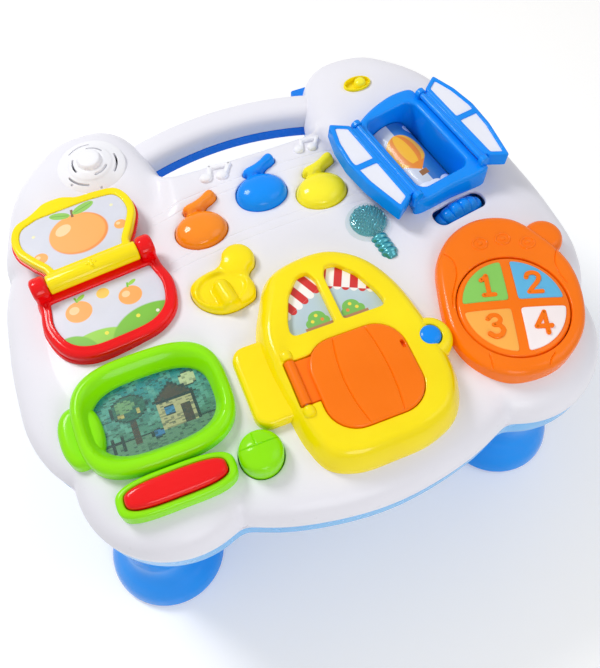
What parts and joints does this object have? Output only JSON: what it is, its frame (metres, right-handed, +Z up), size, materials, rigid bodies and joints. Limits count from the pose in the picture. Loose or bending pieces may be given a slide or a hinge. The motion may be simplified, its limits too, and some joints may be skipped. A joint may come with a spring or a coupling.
{
  "type": "activity table",
  "caption": "Activity table for babies: domed play panel on four legs with a book, a window, a car, a screen, sound buttons and a carry handle.",
  "frame": {"origin": "centre of the footprint on the floor", "axes": "+X to the right of someone who plays at the front, +Y to the back where the handle is, +Z up"},
  "size_m": [0.4086, 0.3525, 0.2317],
  "materials": {
    "white": "smooth semi-gloss moulded plastic",
    "tray": "semi-gloss moulded plastic",
    "blue": "glossy moulded plastic",
    "red": "glossy moulded plastic",
    "yellow": "glossy moulded plastic",
    "orange": "glossy moulded plastic",
    "green": "glossy moulded plastic",
    "lens": "clear tinted moulded plastic",
    "card": "printed card",
    "inner": "natural moulded plastic",
    "board": "circuit board",
    "mat": "moulded rubber key mat",
    "cell": "sleeved dry cell",
    "dark": "moulded plastic",
    "steel": "plain steel rod"
  },
  "bodies": {
    "table": {"top_shell": "white", "bottom_shell": "tray", "battery_door": "tray", "leg_front_left": "blue", "leg_front_right": "blue", "leg_rear_left": "blue", "leg_rear_right": "blue", "speaker_grille": "white", "speaker_driver": "dark", "switch_bezel": "yellow", "slide_switch": "dark", "battery_cell_1": "cell", "battery_cell_2": "cell", "battery_cell_3": "cell", "book_base": "red", "book_page_card": "card", "book_hinge_pin": "steel", "window_frame": "blue", "roller_cradle": "inner", "bulb_lens": "lens", "lamp": "inner", "car_body": "yellow", "car_window_card_left": "card", "car_window_card_right": "card", "recess_card": "card", "car_door_pin": "steel", "screen_bezel": "green", "screen_lens": "lens", "screen_card": "card", "keyboard_base": "green", "phone_housing": "orange", "main_board": "board", "left_board": "board", "right_board": "board", "main_key_mat": "mat", "left_key_mat": "mat", "right_key_mat": "mat"},
    "leaf": {"leaf_frame": "yellow", "leaf_card": "card", "leaf_cover": "red"},
    "left_shutter": {"shutter_left": "blue"},
    "right_shutter": {"shutter_right": "blue"},
    "roller": {"picture_roller": "card", "thumbwheel": "blue", "roller_shaft": "steel"},
    "note_left": {"note_button_left": "orange"},
    "note_middle": {"note_button_middle": "blue"},
    "note_right": {"note_button_right": "yellow"},
    "dummy": {"dummy_button": "yellow"},
    "door": {"car_door": "orange"},
    "headlight": {"headlight_button": "blue"},
    "keyboard": {"keyboard_button": "red"},
    "mouse": {"mouse_button": "green"},
    "disc": {"number_disc": "orange"},
    "power": {"power_slider": "yellow"}
  },
  "joints": [
    {"name": "book_leaf_hinge", "type": "hinge", "parent": "table", "child": "leaf", "pos_m": [-0.128, 0.034, 0.2235], "axis": [0.9962, 0.0872, 0], "range_deg": [0, 183]},
    {"name": "left_shutter_hinge", "type": "hinge", "parent": "table", "child": "left_shutter", "pos_m": [0.09049, 0.04306, 0.227], "axis": [-0.1908, 0.9816, 0], "range_deg": [-5, 172]},
    {"name": "right_shutter_hinge", "type": "hinge", "parent": "table", "child": "right_shutter", "pos_m": [0.14742, 0.05412, 0.227], "axis": [0.1908, -0.9816, 0], "range_deg": [-4, 182]},
    {"name": "roller_turn", "type": "hinge", "parent": "table", "child": "roller", "pos_m": [0.118, 0.0535, 0.189], "axis": [-0.1908, 0.9816, 0], "continuous": true},
    {"name": "left_note_press", "type": "slide", "parent": "table", "child": "note_left", "axis": [0, 0, -1], "range_m": [0, 0.003], "stiffness_N_per_m": 600, "springref_m": -0.001},
    {"name": "middle_note_press", "type": "slide", "parent": "table", "child": "note_middle", "axis": [0, 0, -1], "range_m": [0, 0.003], "stiffness_N_per_m": 600, "springref_m": -0.001},
    {"name": "right_note_press", "type": "slide", "parent": "table", "child": "note_right", "axis": [0, 0, -1], "range_m": [0, 0.003], "stiffness_N_per_m": 600, "springref_m": -0.001},
    {"name": "dummy_press", "type": "slide", "parent": "table", "child": "dummy", "axis": [0, 0, -1], "range_m": [0, 0.003], "stiffness_N_per_m": 600, "springref_m": -0.001},
    {"name": "car_door_hinge", "type": "hinge", "parent": "table", "child": "door", "pos_m": [-0.0325, -0.096, 0.2255], "axis": [0, -1, 0], "range_deg": [0, 115]},
    {"name": "headlight_press", "type": "slide", "parent": "table", "child": "headlight", "axis": [0, 0, -1], "range_m": [0, 0.003], "stiffness_N_per_m": 600, "springref_m": -0.001},
    {"name": "keyboard_press", "type": "slide", "parent": "table", "child": "keyboard", "axis": [0, 0, -1], "range_m": [0, 0.003], "stiffness_N_per_m": 600, "springref_m": -0.001},
    {"name": "mouse_press", "type": "slide", "parent": "table", "child": "mouse", "axis": [0, 0, -1], "range_m": [0, 0.003], "stiffness_N_per_m": 600, "springref_m": -0.001},
    {"name": "disc_press", "type": "slide", "parent": "table", "child": "disc", "axis": [0, 0, -1], "range_m": [0, 0.003], "stiffness_N_per_m": 600, "springref_m": -0.001},
    {"name": "power_slide", "type": "slide", "parent": "table", "child": "power", "axis": [-1, 0, 0], "range_m": [0, 0.005]}
  ]
}
